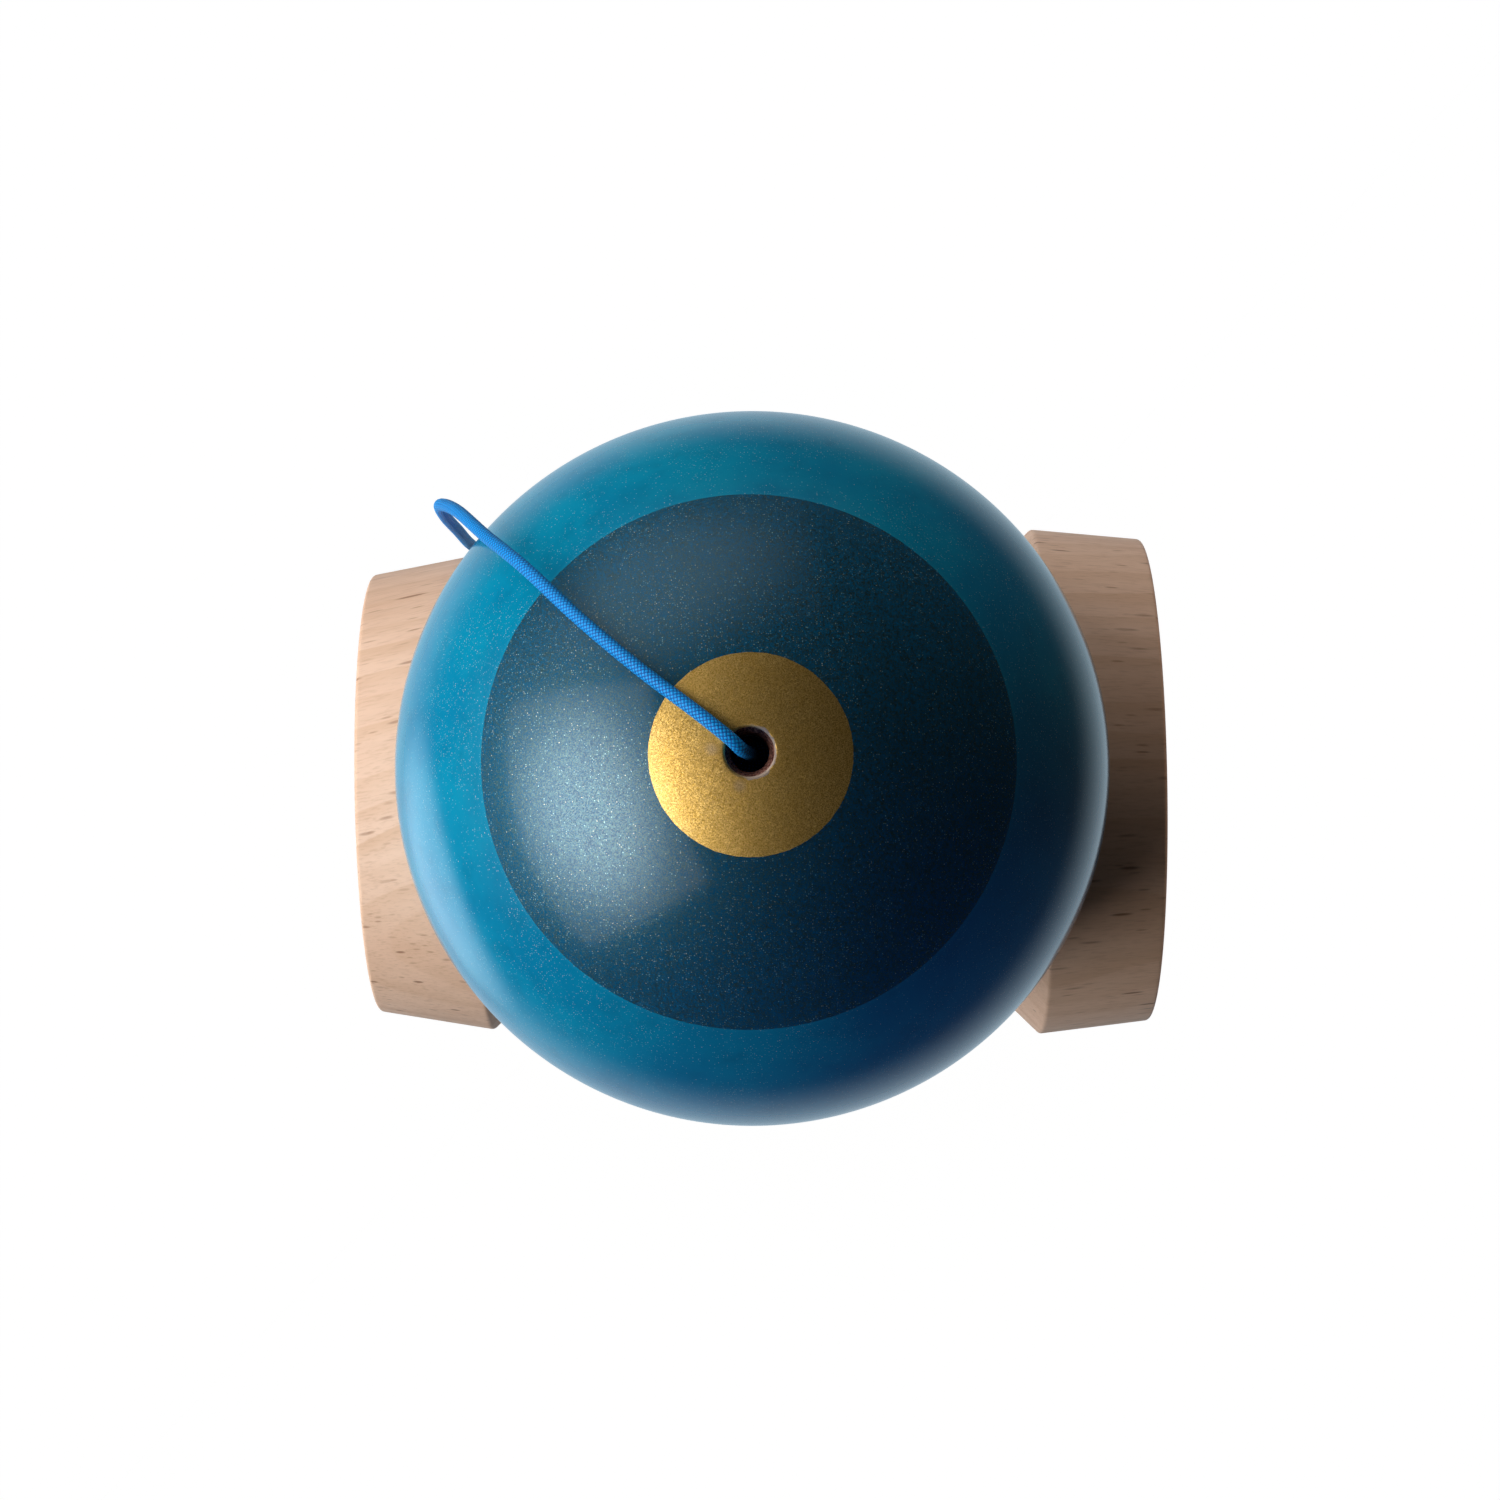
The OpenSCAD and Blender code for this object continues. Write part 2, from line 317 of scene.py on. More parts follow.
def grip_radius(z):
    """Radius of the grip, which swells between the neck and the cross piece."""
    if z < GRIP_Z:
        thin, share = NECK_R, (GRIP_Z - z) / (GRIP_Z - NECK_Z)
    else:
        thin, share = TAPER_LOW_R, (z - GRIP_Z) / (SEAT_LOW_Z - GRIP_Z)
    return thin + (GRIP_R - thin) / 2 * (1 + math.cos(math.pi * share))


def make_ken():
    """The handle: base cup, flare, grip, tapered seat and spike."""
    outline = hollow(RIM_IN_R, BASE_CUP_DEPTH, 30)
    inner = len(outline) - 1
    foot, widest, shoulder = (19.6, 0), (BASE_R, 6.7), (BASE_R - 0.6, 7.9)
    outline += [foot, widest, shoulder]
    flare_r, flare_h = BASE_R - 1, NECK_Z - BASE_BACK_Z
    outline += [(flare_r - (flare_r - NECK_R) * math.sin(a), NECK_Z - flare_h * math.cos(a))
                for a in np.radians(np.linspace(0, 90, 37))]
    ring_gap = 1.5
    outline += [(grip_radius(z), z) for z in np.arange(NECK_Z + ring_gap, SEAT_LOW_Z, ring_gap)]
    outline += [(TAPER_LOW_R, SEAT_LOW_Z), (TAPER_HIGH_R, SEAT_HIGH_Z)]
    outline += [(SPIKE_TIP_R * math.cos(a), KEN_H - TIP_H + TIP_H * math.sin(a))
                for a in np.radians(np.linspace(0, 90, 19))]
    outline = softened(outline, {inner: 0.4, inner + 1: 0.9, inner + 2: 0.8, inner + 3: 0.5})
    points, faces = turned(outline, segments=192)
    ken = mesh_object("ken_wood", points, faces, "handle", "ken")
    way = rod(CORD_WAY_R, CORD_WAY_R, (0, -12, AXIS_Z), (0, 12, AXIS_Z))
    recess = rod(RECESS_R, RECESS_R, (0, RECESS_Y, AXIS_Z), (0, -12, AXIS_Z))
    cut(ken, [way, recess])
    return ken


def make_ball():
    """The ball: its painted outside, and its bare bore, pocket and string hole."""
    hole_z = math.sqrt(BALL_R ** 2 - HOLE_MOUTH_R ** 2)
    mouth_z = -math.sqrt(BALL_R ** 2 - MOUTH_R ** 2)
    bevel_z = mouth_z + MOUTH_R - BORE_R
    skin = [(BALL_R * math.sin(a), BALL_R * math.cos(a))
            for a in np.linspace(math.acos(hole_z / BALL_R), math.acos(mouth_z / BALL_R), 150)]
    seat_z = POCKET_TOP + BEARING_H
    above_seat = seat_z + 0.4
    outline = [(STRING_HOLE_R, above_seat), (STRING_HOLE_R, hole_z - HOLE_FLARE_H)] + skin
    mouth = len(outline) - 1
    outline += [(BORE_R, bevel_z), (BORE_R, BORE_TOP), (POCKET_R, POCKET_TOP), (BEARING_R, POCKET_TOP),
                (BEARING_R, seat_z), (OUTER_RING_BORE_R, seat_z), (OUTER_RING_BORE_R, above_seat),
                outline[0]]
    outline = softened(outline, {1: 0.8, 2: 0.25, mouth: 0.8, mouth + 1: 0.6, mouth + 2: 0.6, mouth + 3: 0.4})
    points, faces = turned([(r, z + BALL_Z) for r, z in outline], segments=256)
    return mesh_object("ball_shell", points, faces, "ball", "tama", sharp=30)


# ---------------------------------------------------------------- the string bearing


def band(r_in, r_out, middle, height):
    """The outline of a plain ring."""
    low, high = middle - height / 2, middle + height / 2
    return [(r_in, low), (r_out, low), (r_out, high), (r_in, high), (r_in, low)]


def bearing_piece(name, parts, body, node):
    """One piece of the bearing, from (points, faces) pairs about the bearing's middle."""
    points, faces = joined(parts)
    points = [(x, y, z + BEARING_Z) for x, y, z in points]
    return mesh_object(name, points, faces, body, node)


def make_bearing():
    """The small bearing that the cord hangs the ball on: its steel pieces, then its brass cage."""
    half = BEARING_H / 2
    groove = math.degrees(math.acos((PITCH_R - INNER_RING_R) / RACE_R))
    inner = [(BEARING_BORE_R, -half), (INNER_RING_R, -half)]
    inner += arc(PITCH_R, 0, RACE_R, 180 + groove, 180 - groove, 10)
    inner += [(INNER_RING_R, half), (BEARING_BORE_R, half), (BEARING_BORE_R, -half)]
    inner = turned(softened(inner, {1: 0.15}), SMALL_SEGMENTS)
    outer = [(BEARING_R, half), (OUTER_RING_BORE_R, half)]
    outer += arc(PITCH_R, 0, RACE_R, groove, -groove, 10)
    outer += [(OUTER_RING_BORE_R, -half), (BEARING_R, -half), (BEARING_R, half)]
    outer = turned(softened(outer, {1: 0.12}), SMALL_SEGMENTS)
    shield_z = half - SHIELD_IN - SHIELD_T / 2
    shields = [turned(band(SHIELD_BORE_R, OUTER_RING_BORE_R, side * shield_z, SHIELD_T), SMALL_SEGMENTS)
               for side in (-1, 1)]
    ways = [(math.cos(a), math.sin(a)) for a in (2 * math.pi * i / ROLLERS for i in range(ROLLERS))]
    profile = [(ROLLER_R * math.sin(a), -ROLLER_R * math.cos(a)) for a in np.linspace(0, math.pi, 17)]
    points, faces = turned(profile, segments=32)
    rollers = [([(x + PITCH_R * right, y + PITCH_R * up, z) for x, y, z in points], faces)
               for right, up in ways]
    cage = turned(band(CAGE_IN_R, CAGE_OUT_R, 0, CAGE_H), segments=112)

    steel = [
        bearing_piece("bearing_inner_steel", [inner], "string_end", "bearing_inner_ring"),
        bearing_piece("bearing_outer_steel", [outer], "ball", "bearing_outer_ring"),
        bearing_piece("bearing_shield_plates", shields, "ball", "bearing_shields"),
        bearing_piece("bearing_ball_set", rollers, "bearing_set", "bearing_balls"),
    ]
    brass = bearing_piece("bearing_cage_brass", [cage], "bearing_set", "bearing_cage")
    past_cage = 4
    cut(brass, [rod(CAGE_POCKET_R, CAGE_POCKET_R, (0, 0, BEARING_Z),
                    (past_cage * right, past_cage * up, BEARING_Z)) for right, up in ways])
    return steel, brass


# ---------------------------------------------------------------- the cord and its knots


def glide(p0, p1, p2, p3, t):
    """A point on the smooth curve through p1 and p2, whose neighbours are p0 and p3."""
    return (p1 + (p2 - p0) * t / 2 + (2 * p0 - 5 * p1 + 4 * p2 - p3) * t * t / 2
            + (3 * p1 - p0 - 3 * p2 + p3) * t ** 3 / 2)


def evenly(points, spacing):
    """The same line with its points evenly spaced."""
    along = np.concatenate([[0], np.cumsum(np.linalg.norm(np.diff(points, axis=0), axis=1))])
    wanted = np.linspace(0, along[-1], int(round(along[-1] / spacing)) + 1)
    return np.stack([np.interp(wanted, along, points[:, i]) for i in range(3)], axis=1), wanted


def smooth_way(way, spacing):
    """Even points along the smooth curve through the way's points."""
    way = np.array(way, float)
    last = len(way) - 1
    line = [glide(way[max(i - 1, 0)], way[i], way[i + 1], way[min(i + 2, last)], t)
            for i in range(last) for t in np.linspace(0, 1, 40, endpoint=False)]
    return evenly(np.array(line + [way[last]]), spacing)


BRAID_STRANDS = 8          # strands in each direction
BRAID_STEP = 0.36          # distance along the cord from one strand to the next
BRAID_RELIEF = 0.04        # how far a strand stands out
CORD_SIDES = 32
CORD_SPACING = 0.145       # distance from one ring of the cord's mesh to the next


def braid_height(turn, along):
    """How far the braid's surface stands out, from 0 in a gap to 1 on a strand."""
    right = BRAID_STRANDS * turn + along / BRAID_STEP
    left = BRAID_STRANDS * turn - along / BRAID_STEP
    over = (np.floor(right) + np.floor(left)) % 2
    across = np.where(over > 0.5, right, left) % 1
    lengthways = np.where(over > 0.5, left, right) % 1
    return np.sin(math.pi * across) ** 0.7 * (0.55 + 0.45 * np.sin(math.pi * lengthways))


def braided_tube(name, line, along, closed=False):
    """A mesh of the braid along a line, in millimetres, with UVs of turn and distance."""
    count = len(line)
    if closed:
        headings = np.roll(line, -1, axis=0) - np.roll(line, 1, axis=0)
    else:
        headings = np.gradient(line, axis=0)
    headings /= np.linalg.norm(headings, axis=1)[:, None]
    side = np.cross(headings[0], (0.3, 0.9, 0.2))
    sides = []
    for heading in headings:
        side = side - (side @ heading) * heading
        side /= np.linalg.norm(side)
        sides.append(side)
    sides = np.array(sides)
    ups = np.cross(headings, sides)
    turn = np.arange(CORD_SIDES) / CORD_SIDES
    height = braid_height(turn[None, :], along[:, None])
    radius = CORD_D / 2 - BRAID_RELIEF + BRAID_RELIEF * height
    angle = 2 * math.pi * turn
    points = (line[:, None, :] + radius[..., None] * (np.cos(angle)[None, :, None] * sides[:, None, :]
                                                      + np.sin(angle)[None, :, None] * ups[:, None, :]))
    faces, uvs = [], []
    for i in range(count if closed else count - 1):
        j = (i + 1) % count
        v0 = along[i]
        v1 = along[j] if j > i else along[i] + along[1] - along[0]
        a, b = i * CORD_SIDES, j * CORD_SIDES
        for k in range(CORD_SIDES):
            n = (k + 1) % CORD_SIDES
            faces.append((a + k, a + n, b + n, b + k))
            u0, u1 = k / CORD_SIDES, (k + 1) / CORD_SIDES
            uvs += [(u0, v0), (u1, v0), (u1, v1), (u0, v1)]
    if not closed:
        last = (count - 1) * CORD_SIDES
        faces += [tuple(range(CORD_SIDES))[::-1], tuple(range(last, last + CORD_SIDES))]
        uvs += [(0, 0)] * (2 * CORD_SIDES)
    obj = mesh_object(name, points.reshape(-1, 3), faces, sharp=80)
    layer = obj.data.uv_layers.new(name="braid")
    layer.data.foreach_set("uv", np.array(uvs, np.float32).reshape(-1))
    return obj


def make_cord():
    """The free cord, which joins the ball's end of the toy to the handle."""
    line, along = smooth_way(CORD_WAY, CORD_SPACING)
    cord = braided_tube("cord_braid", line, along)
    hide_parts("cord")
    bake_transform(cord)
    return cord


def make_knot(name, middle, axis, body, node):
    """An overhand knot pulled tight, as a closed trefoil of cord about an axis."""
    t = np.linspace(0, 2 * math.pi, 400, endpoint=False)
    size, rise = 0.66, 0.95
    loop = np.stack([size * (np.sin(t) + 2 * np.sin(2 * t)), size * (np.cos(t) - 2 * np.cos(2 * t)),
                     -rise * np.sin(3 * t)], axis=1)
    turn = np.array(Vector(axis).to_track_quat("Z", "Y").to_matrix())
    loop = loop @ turn.T + np.array(middle)
    closed, along = evenly(np.concatenate([loop, loop[:1]]), CORD_SPACING)
    knot = braided_tube(name, closed[:-1], along[:-1], closed=True)
    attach(knot, body)
    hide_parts(node)
    return knot


# ---------------------------------------------------------------- materials


class Shader:
    """A material's nodes, made one call at a time."""

    def __init__(self, name):
        self.material = bpy.data.materials.new(name)
        self.material.use_nodes = True
        self.tree = self.material.node_tree
        self.surface = self.tree.nodes["Principled BSDF"]

    def node(self, kind, settings=None, **inputs):
        made = self.tree.nodes.new("ShaderNode" + kind)
        for key, value in (settings or {}).items():
            setattr(made, key, value)
        for key, value in inputs.items():
            self.put(made.inputs[key.replace("_", " ")], value)
        return made

    def put(self, socket, value):
        if isinstance(value, bpy.types.NodeSocket):
            self.tree.links.new(value, socket)
        else:
            socket.default_value = value

    def math(self, operation, a, b=0.0):
        made = self.node("Math", {"operation": operation})
        self.put(made.inputs[0], a)
        self.put(made.inputs[1], b)
        return made.outputs[0]

    def vector(self, operation, a, b=(0, 0, 0)):
        made = self.node("VectorMath", {"operation": operation})
        self.put(made.inputs[0], a)
        if operation == "SCALE":
            self.put(made.inputs["Scale"], b)
        elif operation != "NORMALIZE":
            self.put(made.inputs[1], b)
        return made.outputs["Value" if operation in ("DOT_PRODUCT", "LENGTH") else "Vector"]

    def noise(self, vector, scale, detail=2.0, roughness=0.5):
        return self.node("TexNoise", Vector=vector, Scale=scale, Detail=detail,
                         Roughness=roughness).outputs["Fac"]

    def cells(self, vector, scale):
        """The outputs of a field of random cells, and three random numbers for each cell."""
        found = self.node("TexVoronoi", {"feature": "F1"}, Vector=vector, Scale=scale).outputs
        return found, self.node("SeparateColor", Color=found["Color"]).outputs

    def remap(self, value, low, high, to_low=0.0, to_high=1.0):
        made = self.node("MapRange", {"interpolation_type": "SMOOTHSTEP"})
        for socket, number in zip(made.inputs, (value, low, high, to_low, to_high)):
            self.put(socket, number)
        return made.outputs[0]

    def mix(self, factor, a, b):
        """Between two colours."""
        made = self.node("Mix", {"data_type": "RGBA"})
        for socket, value in zip((0, 6, 7), (factor, a, b)):
            self.put(made.inputs[socket], value)
        return made.outputs[2]

    def blend(self, factor, a, b):
        """Between two numbers."""
        made = self.node("Mix", {"data_type": "FLOAT"})
        for socket, value in zip((0, 2, 3), (factor, a, b)):
            self.put(made.inputs[socket], value)
        return made.outputs[0]

    def reach(self, parts):
        """Distance from the Z axis."""
        return self.vector("LENGTH", self.node("CombineXYZ", X=parts[0], Y=parts[1]).outputs[0])

    def position(self):
        return self.node("TexCoord").outputs["Object"]

    def finish(self, **inputs):
        for key, value in inputs.items():
            self.put(self.surface.inputs[key.replace("_", " ")], value)
        return self.material


def rgb(r, g, b):
    return (r, g, b, 1.0)


def beech(name, along, middle, bend=0.0, tint=1.0):
    """Bare beech whose fibres run along 'x' or 'z', ringed about a point out in the tree's heart."""
    s = Shader(name)
    parts = s.node("SeparateXYZ", Vector=s.vector("SUBTRACT", s.position(), middle)).outputs
    fibre, across, up = (parts[i] for i in ((0, 1, 2) if along == "x" else (2, 0, 1)))
    # fibres that curve gently towards one end
    swing = s.math("MULTIPLY", s.math("POWER", s.math("SUBTRACT", fibre, 0.03), 2.0), bend)
    across = s.math("ADD", across, swing)

    def shade(r, g, b):
        return rgb(r * tint, g * tint, b * tint)

    def stretched(amount):
        return s.node("CombineXYZ", X=s.math("MULTIPLY", fibre, amount), Y=across, Z=up).outputs[0]

    def flecks(scale, amount, outer, inner, chance):
        """Short dark spindles along the fibres, in a few of the cells."""
        cells, luck = s.cells(stretched(amount), scale)
        mark = s.remap(cells["Distance"], outer, inner)
        mark = s.math("MULTIPLY", mark, s.math("LESS_THAN", luck[0], chance))
        return s.math("MULTIPLY", mark, s.remap(luck[1], 0.0, 1.0, 0.35, 1.0))

    # growth rings about the heart, which lies off to one side
    wander = s.node("TexNoise", Vector=stretched(0.3), Scale=55.0, Detail=3.0).outputs["Color"]
    heart = s.vector("ADD", stretched(0.1), (0.0, 0.021, -0.034))
    heart = s.vector("ADD", heart, s.vector("SCALE", wander, 0.007))
    rings_per_metre = 430.0
    age = s.math("MULTIPLY", s.vector("LENGTH", heart), rings_per_metre)
    year = s.math("FRACT", age)
    ring = s.math("MULTIPLY", s.remap(year, 0.25, 0.93), s.remap(year, 1.0, 0.93))
    bold_year = s.noise(s.node("CombineXYZ", X=s.math("FLOOR", age)).outputs[0], 0.77, 1.0)
    ring = s.math("MULTIPLY", ring, s.remap(bold_year, 0.35, 0.65, 0.2, 1.0))
    ray = flecks(1700.0, 0.13, 0.24, 0.08, 0.75)
    bold_ray = flecks(950.0, 0.10, 0.20, 0.07, 0.95)
    pores = s.noise(stretched(0.07), 5200.0, 2.0, 0.6)
    patch = s.noise(stretched(0.35), 70.0, 3.0, 0.55)
    streak = s.noise(stretched(0.05), 900.0, 3.0, 0.6)

    color = s.mix(s.remap(patch, 0.3, 0.7), shade(0.745, 0.485, 0.34), shade(0.81, 0.56, 0.41))
    color = s.mix(s.remap(streak, 0.4, 0.75, 0.0, 0.30), color, shade(0.62, 0.40, 0.265))
    color = s.mix(s.math("MULTIPLY", ring, 0.42), color, shade(0.57, 0.325, 0.175))
    color = s.mix(s.remap(pores, 0.45, 0.75, 0.0, 0.32), color, shade(0.46, 0.275, 0.17))
    color = s.mix(s.math("MULTIPLY", ray, 0.60), color, shade(0.33, 0.17, 0.095))
    color = s.mix(s.math("MULTIPLY", bold_ray, 0.85), color, shade(0.26, 0.125, 0.07))

    depth = s.math("ADD", s.math("MULTIPLY", ray, -0.5), s.math("MULTIPLY", bold_ray, -1.0))
    depth = s.math("ADD", depth, s.math("MULTIPLY", pores, -0.35))
    soft = s.node("Bevel", {"samples": 6}, Radius=0.0003).outputs[0]
    bump = s.node("Bump", Strength=0.25, Distance=0.00006, Height=depth, Normal=soft).outputs[0]
    rough = s.remap(pores, 0.3, 0.7, 0.46, 0.58)
    return s.finish(Base_Color=color, Roughness=rough, Normal=bump, Specular_IOR_Level=0.3)


# Each paint mask was set by hand, so it is tipped a little, in degrees towards +X and +Y. Its edge
# lies this many degrees from its axis.
CAP_TIP, CAP_EDGE = (-0.4, -1.0), 44.45
DISC_TIP, DISC_EDGE = (0.15, -0.35), 15.15


def tipped_axis(tip):
    """The unit vector up the ball's axis, tipped a little."""
    return Vector((math.sin(math.radians(tip[0])), math.sin(math.radians(tip[1])), 1)).normalized()


def ball_paint():
    """Clear-coated teal, a dark flake cap and a gold flake disc with painted glints, worn at the string hole,
    whose pale ring carries a painted highlight on its lit side.
    """
    s = Shader("ball_paint")
    place = s.vector("SUBTRACT", s.position(), (0, 0, BALL_Z * MM))
    parts = s.node("SeparateXYZ", Vector=place).outputs
    radius = s.vector("LENGTH", place)
    direction = s.vector("NORMALIZE", place)
    ragged = s.math("MULTIPLY", s.math("SUBTRACT", s.noise(place, 1500.0, 2.0), 0.5), 0.0009)

    def depth(tip, degrees):
        """How far inside a mask a point lies, as a difference of cosines."""
        cosine = s.math("ADD", s.vector("DOT_PRODUCT", direction, tuple(tipped_axis(tip))), ragged)
        return s.math("SUBTRACT", cosine, math.cos(math.radians(degrees)))

    cap_depth = depth(CAP_TIP, CAP_EDGE)
    cap = s.math("GREATER_THAN", cap_depth, 0.0)
    disc = s.math("GREATER_THAN", depth(DISC_TIP, DISC_EDGE), 0.0)

    # fine flakes too small to tell apart, and a few larger ones whose glints are painted into the colour as
    # pale specks
    flakes, luck = s.cells(place, 14000.0)
    painted_glint_cells, painted_glint_luck = s.cells(place, 7000.0)
    drift = s.remap(s.noise(place, 160.0, 2.0), 0.35, 0.65, 0.4, 1.5)
    chance = s.math("MULTIPLY", s.remap(cap, 0.0, 1.0, 0.40, 0.42), drift)
    painted_glint = s.math("MULTIPLY", s.math("LESS_THAN", painted_glint_luck[0], chance),
                   s.remap(painted_glint_cells["Distance"], 0.40, 0.20))
    painted_glint = s.math("MULTIPLY", painted_glint, s.math("POWER", painted_glint_luck[1], 2.2))
    silver = s.math("MULTIPLY", s.remap(luck[0], 0.25, 0.75, 0.0, 0.85), cap)

    # teal, blotched as a thin translucent paint over wood is
    blotch = s.noise(place, 70.0, 4.0, 0.6)
    cloud = s.noise(place, 330.0, 3.0, 0.65)
    teal = s.mix(s.remap(blotch, 0.3, 0.7), rgb(0.0, 0.125, 0.235), rgb(0.0, 0.174, 0.282))
    teal = s.mix(s.remap(cloud, 0.45, 0.8, 0.0, 0.40), teal, rgb(0.0, 0.09, 0.17))
    edge = s.math("MULTIPLY", s.remap(cap_depth, -0.012, -0.002), 0.22)
    teal = s.mix(edge, teal, rgb(0.01, 0.21, 0.32))

    navy = s.mix(luck[1], rgb(0.001, 0.066, 0.145), rgb(0.002, 0.090, 0.180))
    navy = s.mix(silver, navy, s.mix(luck[2], rgb(0.026, 0.075, 0.082), rgb(0.062, 0.120, 0.115)))
    grain = s.remap(s.noise(place, 11000.0, 1.0), 0.32, 0.68)
    gold = s.mix(grain, rgb(0.60, 0.35, 0.065), rgb(0.98, 0.645, 0.21))
    gold = s.mix(s.remap(s.noise(place, 600.0, 3.0), 0.35, 0.7, 0.0, 0.3), gold, rgb(0.72, 0.42, 0.08))
    # painted glints: pale specks mixed into the paint's colour
    painted_glint_color = s.mix(s.math("GREATER_THAN", painted_glint_luck[2], 0.7), rgb(0.34, 0.60, 0.60), rgb(0.66, 0.66, 0.50))
    color = s.mix(cap, teal, navy)
    color = s.mix(s.math("MULTIPLY", painted_glint, s.remap(cap, 0.0, 1.0, 0.45, 0.75)), color, painted_glint_color)
    color = s.mix(disc, color, gold)

    # wear: a thin pale ring of primer at the hole, two smudges beside it, and bare wood inside it; the ring
    # is paler on its +X side, a painted highlight where the light falls on the hole's edge
    above = s.math("GREATER_THAN", parts[2], 0.02)
    for x, y, size, strength in ((-0.0029, 0.0003, 0.0005, 0.36), (-0.0008, -0.0026, 0.00045, 0.30)):
        spot = s.vector("LENGTH", s.vector("SUBTRACT", place, (x, y, BALL_R * MM)))
        spot = s.math("ADD", spot, s.math("MULTIPLY", s.math("SUBTRACT", cloud, 0.5), 0.0006))
        smudge = s.math("MULTIPLY", s.remap(spot, 1.5 * size, 0.2 * size, 0.0, strength), above)
        color = s.mix(smudge, color, rgb(0.62, 0.50, 0.42))
    frayed = s.math("MULTIPLY", s.math("SUBTRACT", s.noise(place, 1300.0, 3.0), 0.5), 0.0007)
    chips_and_painted_highlight = s.math("LESS_THAN", s.math("ADD", s.reach(parts), frayed), 0.0021)
    chips_and_painted_highlight = s.math("MULTIPLY", chips_and_painted_highlight, above)
    # painted highlight: the pale ring shows most on the +X side, where light falls on the hole's edge, and
    # faintly on the other side
    painted_lit_side = s.vector("DOT_PRODUCT", place, (0.97, -0.25, 0.0))
    chips_and_painted_highlight = s.math("MULTIPLY", chips_and_painted_highlight, s.remap(painted_lit_side, -0.0012, 0.0008, 0.1, 1.0))
    color = s.mix(chips_and_painted_highlight, color, s.mix(cloud, rgb(0.30, 0.20, 0.14), rgb(0.52, 0.44, 0.38)))
    bare = s.math("LESS_THAN", radius, (BALL_R - 0.16) * MM)
    fibre = s.noise(s.vector("MULTIPLY", place, (1.0, 1.0, 0.08)), 1500.0, 3.0, 0.6)
    wood = s.mix(fibre, rgb(0.30, 0.155, 0.09), rgb(0.52, 0.33, 0.21))
    red = s.remap(s.noise(place, 5000.0, 2.0), 0.35, 0.65)
    red = s.mix(red, rgb(0.04, 0.012, 0.010), rgb(0.26, 0.12, 0.09))
    wood = s.mix(above, wood, red)
    color = s.mix(bare, color, wood)

    plain = s.math("MAXIMUM", bare, chips_and_painted_highlight)
    shine = s.math("SUBTRACT", 1.0, plain)
    metal = s.math("MAXIMUM", s.math("MAXIMUM", disc, silver), s.math("MULTIPLY", painted_glint, 0.5))
    metal = s.math("MULTIPLY", metal, shine)
    tilt = s.vector("SCALE", s.vector("SUBTRACT", flakes["Color"], (0.5, 0.5, 0.5)), 0.13)
    normal = s.node("NewGeometry").outputs["Normal"]
    uneven = s.vector("NORMALIZE", s.vector("ADD", normal, s.vector("SCALE", tilt, metal)))
    rough = s.blend(disc, s.blend(cap, 0.5, 0.36), 0.41)
    return s.finish(Base_Color=color, Metallic=metal, Roughness=rough, Normal=uneven, Specular_IOR_Level=0.0,
                    Coat_Weight=shine, Coat_Roughness=0.14, Coat_IOR=1.42)


def braid_material():
    """Azure nylon: strands in two directions, shaded darker where they dive under each other."""
    s = Shader("braided_nylon")
    uv = s.node("SeparateXYZ", Vector=s.node("UVMap", {"uv_map": "braid"}).outputs[0]).outputs
    turn = s.math("MULTIPLY", uv[0], float(BRAID_STRANDS))
    along = s.math("DIVIDE", uv[1], BRAID_STEP)
    right, left = s.math("ADD", turn, along), s.math("SUBTRACT", turn, along)
    parity = s.math("ADD", s.math("FLOOR", right), s.math("FLOOR", left))
    over = s.math("GREATER_THAN", s.math("FLOORED_MODULO", parity, 2.0), 0.5)

    def hump(value):
        return s.math("SINE", s.math("MULTIPLY", value, math.pi))

    across = s.math("FRACT", s.blend(over, left, right))
    lengthways = s.math("FRACT", s.blend(over, right, left))
    height = s.math("MULTIPLY", s.math("POWER", hump(across), 0.7),
                    s.math("ADD", 0.55, s.math("MULTIPLY", hump(lengthways), 0.45)))
    three_humps = 9.4
    threads = s.math("ABSOLUTE", s.math("SINE", s.math("MULTIPLY", across, three_humps)))
    fade = s.remap(s.noise(s.position(), 260.0, 2.0), 0.3, 0.7)
    dark = s.mix(fade, rgb(0.0, 0.07, 0.30), rgb(0.0, 0.10, 0.38))
    color = s.mix(s.remap(height, 0.3, 0.95), dark, rgb(0.0, 0.30, 0.78))
    lit_threads = s.math("MULTIPLY", threads, s.remap(height, 0.6, 1.0, 0.0, 0.35))
    color = s.mix(lit_threads, color, rgb(0.03, 0.47, 0.95))
    relief = s.math("ADD", height, s.math("MULTIPLY", threads, 0.10))
    bump = s.node("Bump", Strength=0.5, Distance=0.00006, Height=relief).outputs[0]
    return s.finish(Base_Color=color, Roughness=0.55, Normal=bump, Sheen_Weight=0.05, Sheen_Roughness=0.4,
                    Sheen_Tint=rgb(0.4, 0.7, 1.0), Specular_IOR_Level=0.25)


